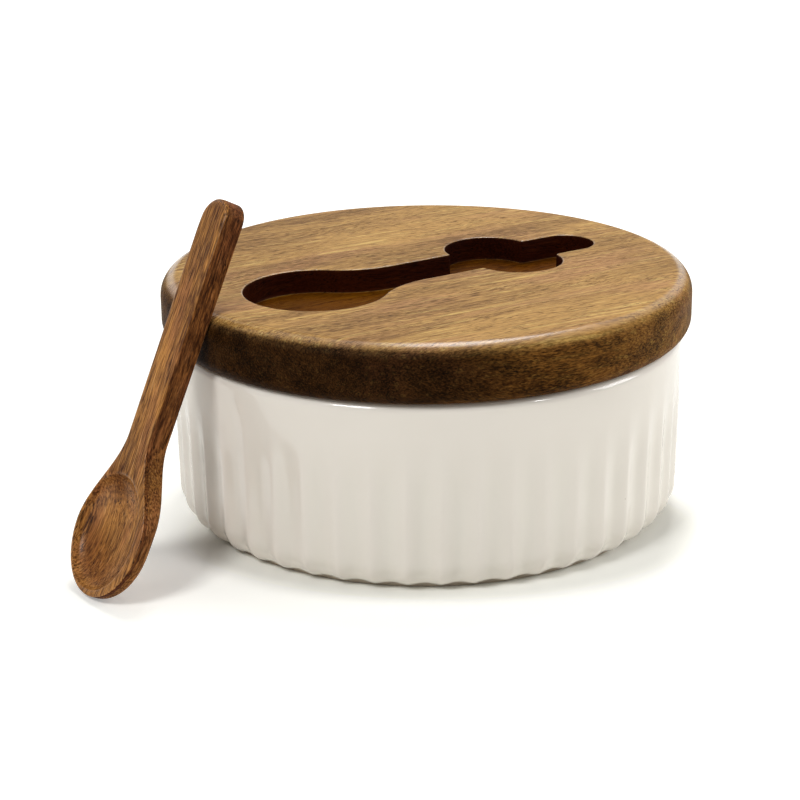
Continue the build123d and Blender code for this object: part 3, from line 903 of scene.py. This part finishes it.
# 1 for rays that show the background itself: seen, mirrored or through glass
def shownRays(tree):
    rays = addNode(tree, "ShaderNodeLightPath").outputs
    seen = mathNode(tree, "MAXIMUM", rays["Is Camera Ray"], rays["Is Glossy Ray"])
    return mathNode(tree, "MAXIMUM", seen, rays["Is Transmission Ray"])


def makeWorld():
    world = bpy.data.worlds.new("whiteStudio")
    world.use_nodes = True
    tree = world.node_tree
    tree.nodes.clear()
    shown = shownRays(tree)
    strength = mathNode(tree, "MULTIPLY_ADD", shown, 1.0 - studio["worldLight"], studio["worldLight"])
    background = addNode(tree, "ShaderNodeBackground", {"Color": (1, 1, 1, 1), "Strength": strength})
    addNode(tree, "ShaderNodeOutputWorld", {"Surface": background.outputs[0]})
    bpy.context.scene.world = world


def makeFloor():
    half = studio["floorSize"] / 2
    corners = [(-half, -half), (half, -half), (half, half), (-half, half)]
    mesh = bpy.data.meshes.new("floor")
    mesh.from_pydata([(x, y, studio["floorHeight"]) for x, y in corners], [], [(0, 1, 2, 3)])
    floor = bpy.data.objects.new("floor", mesh)
    bpy.context.scene.collection.objects.link(floor)
    material, tree, shader = newMaterial("whiteTable")
    shader.inputs["Base Color"].default_value = studio["floorColour"]
    shader.inputs["Roughness"].default_value = studio["floorRoughness"]
    shader.inputs["Specular IOR Level"].default_value = studio["floorSpecular"]
    shader.inputs["Emission Color"].default_value = (1, 1, 1, 1)
    coordinates = addNode(tree, "ShaderNodeTexCoord").outputs
    turned = {"Vector": coordinates["Object"], "Location": studio["liftCentre"], "Scale": studio["liftStretch"]}
    place = addNode(tree, "ShaderNodeMapping", turned, vector_type="POINT")
    away = vectorMath(tree, "LENGTH", place.outputs[0], result="Value")
    near = mapped(tree, away, studio["liftFrom"], studio["liftTo"], 0.0, studio["farLift"])
    horizon = mapped(tree, away, studio["horizonFrom"], studio["horizonTo"], 0.0, studio["horizonLift"])
    lift = mathNode(tree, "MULTIPLY", shownRays(tree), mathNode(tree, "ADD", near, horizon))
    tree.links.new(lift, shader.inputs["Emission Strength"])
    mesh.materials.append(material)


def addLamp(name, around, above, width, height, power):
    around, above = math.radians(around), math.radians(above)
    towards = Vector((math.cos(above) * math.cos(around), math.cos(above) * math.sin(around), math.sin(above)))
    data = bpy.data.lights.new(name, "AREA")
    data.shape = "RECTANGLE"
    data.size, data.size_y = width, height
    data.energy = power
    lamp = bpy.data.objects.new(name, data)
    lamp.location = Vector(studio["aim"]) + towards * studio["reach"]
    lamp.rotation_euler = towards.to_track_quat("Z", "Y").to_euler()
    bpy.context.scene.collection.objects.link(lamp)


def makeCamera():
    yaw, pitch, roll, elevation = (math.radians(camera[key]) for key in ("yaw", "pitch", "roll", "elevation"))
    forward = np.array([math.sin(yaw) * math.cos(pitch), math.cos(yaw) * math.cos(pitch), -math.sin(pitch)])
    right = np.array([math.cos(yaw), -math.sin(yaw), 0])
    up = np.cross(right, forward)
    level, tilted = math.cos(roll), math.sin(roll)
    right, up = right * level + up * tilted, up * level - right * tilted
    data = bpy.data.cameras.new("mainCamera")
    data.lens = camera["lens"]
    data.sensor_width = camera["sensor"]
    eye = bpy.data.objects.new("mainCamera", data)
    turn = Matrix((tuple(right), tuple(up), tuple(-forward))).transposed().to_4x4()
    turn.translation = (0, -camera["distance"] * math.cos(elevation), camera["distance"] * math.sin(elevation))
    eye.matrix_world = turn
    bpy.context.scene.collection.objects.link(eye)
    bpy.context.scene.camera = eye


makeWorld()
makeFloor()
for name, values in studio["lamps"].items():
    addLamp(name, *values)
makeCamera()
bpy.context.scene.view_settings.view_transform = "Standard"
print("studio made")
